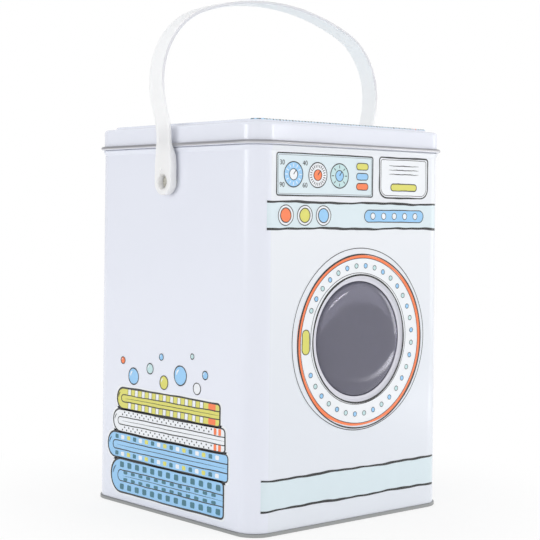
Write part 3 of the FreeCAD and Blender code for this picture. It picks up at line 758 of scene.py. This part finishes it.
def back_print():
    """The two stripes again on the back, with a few bubbles between them."""
    put = wall_art.press(on_wall, 2 * SIDE)
    stripe(put, -72, 72, UPPER_STRIPE, 600, 1.15)
    stripe(put, -72, 72, LOWER_STRIPE, 610, 1.15)
    for place, (x, z, radius, colour) in enumerate((
            (-40, 52, 7.5, "sky"), (-22, 66, 4.2, "mint"), (-6, 50, 5.4, "lime"),
            (14, 62, 8.6, "sky"), (36, 51, 5.0, "white"), (44, 70, 3.4, "orange"),
            (-34, 82, 3.0, "white"), (2, 84, 3.6, "sky"), (28, 90, 2.6, "mint"))):
        bubble(put, x, z, radius, colour, 620 + 4 * place)


def lid_print():
    """Waves and bubbles on the pale top, and short dashes over the front edge of the panel."""
    put = lid_art.press(on_lid)
    half, flat = HALF / MM, FLAT / MM
    border = rounded(12.4 - half, half - 12.4, 9.6 - half, half - 9.6, 4.0, 701, 0.3, 90)
    put("charcoal", line(border, 0.8, True, 702, 0.3), OUTLINE)
    x = np.linspace(-68, 68, 240)
    for place, (y, colour, width) in enumerate((
            (-52, "sky", 2.6), (-44, "charcoal", 0.7), (-18, "sky", 3.4), (-12, "charcoal", 0.6),
            (16, "sky", 2.6), (23, "charcoal", 0.7), (48, "sky", 3.4), (54, "charcoal", 0.6))):
        wave = np.stack([x, y + 3.4 * np.sin(x / 9.5 + 0.9 * place)
                         + wobble(len(x), 0.5, 710 + place)], -1)
        films = SHAPE if colour == "sky" else DETAIL
        put(colour, line(wave, width, seed=720 + place, uneven=0.3), films)
    for place, (x, y, radius, colour) in enumerate((
            (-50, -30, 8.5, "white"), (-28, -64, 4.6, "lime"), (-22, -2, 6.2, "orange"),
            (4, -32, 10.5, "mint"), (12, 4, 4.4, "white"), (34, -60, 6.0, "white"),
            (42, -2, 8.0, "lime"), (58, -34, 4.2, "orange"), (-54, 34, 6.4, "mint"),
            (-30, 62, 7.2, "white"), (-4, 34, 8.4, "sky"), (22, 63, 4.8, "orange"),
            (38, 36, 9.4, "white"), (61, 62, 4.0, "lime"), (-62, 2, 3.2, "white"))):
        bubble(put, x, y, radius, colour, 740 + 4 * place)

    arc = CORNER / MM - 7.3            # the dashes begin this far from a corner's axis
    edge_y = -flat - arc
    starts = [(x, edge_y, 0.0, -1.0) for x in np.arange(-67.6, 68.5, 2.6)]
    for side, turns in ((-1, range(2, 87, 14)), (1, (30, 62, 82))):
        for turn in turns:
            out = (side * math.cos(math.radians(turn)), -math.sin(math.radians(turn)))
            starts.append((side * flat + arc * out[0], -flat + arc * out[1]) + out)
    pen = np.random.default_rng(8)
    for place, (x, y, out_x, out_y) in enumerate(starts):
        reach = np.linspace(0.0, -1.4 - pen.uniform(0, 0.5), 5)
        lean = pen.uniform(-0.2, 0.2) * np.linspace(0, 1, 5)
        dash = np.stack([x + out_x * reach - out_y * lean, y + out_y * reach + out_x * lean], -1)
        colour, widths = ("grey" if place % 2 else "charcoal"), (0.6, 1.1)
        if y > edge_y + 0.01:          # on a corner
            colour, widths = ("charcoal", "sky", "teal")[place % 3], (1.3, 1.9)
        elif 58 < x < 63:
            colour = "orange"
        put(colour, line(dash, pen.uniform(*widths), uneven=0), DETAIL)


towels(-1, 1.0)
towels(1, -1.0)
back_print()
lid_print()
wall_art.make_pieces()
lid_art.make_pieces()


# ---- The clear window -------------------------------------------------------------------------

def clear_window():
    """The moulded pane: a disc turned round the window's axis.

    The front face lies at flange - dome * sqrt(1 - (r / edge)^8), so the middle is nearly flat and
    the edge rounds over steeply to the flange; the back face follows it one thickness behind.
    """
    thick, dome, flange_width = 0.6 * MM, 2.4 * MM, 4.5 * MM
    outer = (pane_high.x - pane_low.x) / 2
    edge, flange = outer - flange_width, pane_high.y - thick
    radius = edge * np.sin(np.linspace(0, math.pi / 2, 48))
    front_y = flange - dome * np.sqrt(1 - (radius / edge) ** 8)
    r = np.concatenate([radius, [outer, outer], radius[::-1]])
    y = np.concatenate([front_y, [flange, flange + thick], front_y[::-1] + thick])
    turn = np.linspace(0, 2 * math.pi, 129)[:, None]
    grid = np.stack([WINDOW_X + r * np.cos(turn), y + 0 * turn, WINDOW_Z + r * np.sin(turn)], -1)
    pane = surface("clear_window", [grid], NODE_FINISH["window_pane"], True)
    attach(pane, "tin")
    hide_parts("window_pane")


clear_window()


# ---- Studio -----------------------------------------------------------------------------------

PURE_WHITE = (1.0, 1.0, 1.0)


def studio_floor():
    """A round pale floor that fades to plain white, just under the tin.

    One brighter patch of it shows only as a reflection, in the glossy walls.
    """
    m = Finish("studio_paper")
    x, y, _ = m.parts(m.place())
    reach = length(x, y)
    paper = m.node("BsdfDiffuse", inputs={"Color": (0.92, 0.92, 0.92)})
    patch = length(x - 0.50, y + 0.35).ramp(0.04, 0.20, 1.0, 0.0) * m.ray("Glossy")
    glow = m.node("Emission", inputs={"Color": PURE_WHITE, "Strength": patch * 4.0 + 1.0})
    fade = reach.ramp(0.11, 0.26, 0.80, 1.0) * m.ray("Camera", "Glossy", "Transmission")
    material = m.done(m.node("MixShader", inputs={0: fade, 1: paper, 2: glow}))
    turn = np.linspace(0, 2 * math.pi, 97)
    radius = np.array([0.0, 0.05, 0.2, 0.6, 1.5, 4.0])[:, None]
    drop = np.full((radius.size, turn.size), -0.02 * MM)
    disc = np.stack([radius * np.cos(turn), radius * np.sin(turn), drop], -1)
    floor = surface("studio_floor", [disc], material)


def studio_surround():
    """A plain white surround, which gloss and clear plastic mirror darker overhead and behind."""
    w = Finish("studio_surround", "world")
    way_x, way_y, way_z = w.parts(w.place("Generated"))
    behind = (way_y * 0.75 - way_x * 0.66).ramp(0.3, 1.0)
    shade = way_z.ramp(0.15, 0.75).either(behind)
    overhead = w.mix(shade, PURE_WHITE, (0.42, 0.42, 0.44))
    mirrored, seen = w.ray("Glossy", "Transmission"), w.ray("Camera")
    light = w.node("Background", inputs={"Color": PURE_WHITE, "Strength": 0.62})
    mirror = w.node("Background", inputs={"Color": overhead, "Strength": 1.0})
    white = w.node("Background", inputs={"Color": PURE_WHITE, "Strength": 1.0})
    around = w.node("MixShader", inputs={0: mirrored, 1: light, 2: mirror})
    bpy.context.scene.world = w.done(w.node("MixShader", inputs={0: seen, 1: around, 2: white}))


def lamp(name, place, target, width, height, power, mirrored=True):
    """A soft box aimed at a point; one that is not mirrored leaves no image of itself in gloss."""
    data = bpy.data.lights.new(name, "AREA")
    data.shape, data.size, data.size_y, data.energy = "RECTANGLE", width, height, power
    holder = add_object(name, data)
    way = Vector(target) - Vector(place)
    turned = way.to_track_quat("-Z", "Y").to_matrix().to_4x4()
    holder.matrix_world = Matrix.Translation(place) @ turned
    holder.visible_camera, holder.visible_glossy = False, mirrored


studio_floor()
studio_surround()
lamp("front_box", (0.9, -1.5, 0.5), (0, 0, 0.12), 1.4, 0.9, 8.2, mirrored=False)
lamp("left_box", (-1.7, -0.2, 0.5), (0, 0, 0.12), 1.8, 0.9, 4.6, mirrored=False)
lamp("top_box", (0.0, 0.1, 1.9), (0, 0, 0.15), 1.4, 1.4, 7, mirrored=False)
lamp("back_box", (0.3, 1.8, 0.6), (0, 0, 0.15), 1.6, 1.2, 4.5, mirrored=False)
lamp("left_strip", (-1.565, 0.33, 0.36), (-0.07, -0.07, 0.3), 0.6, 0.3, 2.6)
lamp("front_strip", (0.83, -1.38, 0.33), (-0.07, -0.07, 0.3), 0.36, 0.07, 0.5)
lamp("right_box", (1.5, -0.62, 0.25), (0, -0.08, 0.11), 0.5, 0.5, 1.3)


# ---- Camera -----------------------------------------------------------------------------------

YAW, ROLL = math.radians(41.08), math.radians(0.62)
BACK, ASIDE, HEIGHT = 0.93307, 0.000707, 0.1910    # how the lens stands from the tin's foot

camera_data = bpy.data.cameras.new("camera")
camera_data.lens, camera_data.sensor_width, camera_data.shift_y = 92.636, 36.0, -0.1012
camera_data.clip_start, camera_data.clip_end = 0.01, 50
camera = add_object("camera", camera_data)
ahead = Vector((math.sin(YAW), math.cos(YAW), 0))
right = Vector((math.cos(YAW), -math.sin(YAW), 0))
up = Vector((0, 0, 1))
across = right * math.cos(ROLL) + up * math.sin(ROLL)
upward = up * math.cos(ROLL) - right * math.sin(ROLL)
turned = Matrix((across, upward, -ahead)).transposed().to_4x4()
spot = ahead * -BACK + right * ASIDE + up * HEIGHT
camera.matrix_world = Matrix.Translation(spot) @ turned
bpy.context.scene.camera = camera
bpy.context.scene.view_settings.view_transform = "Standard"
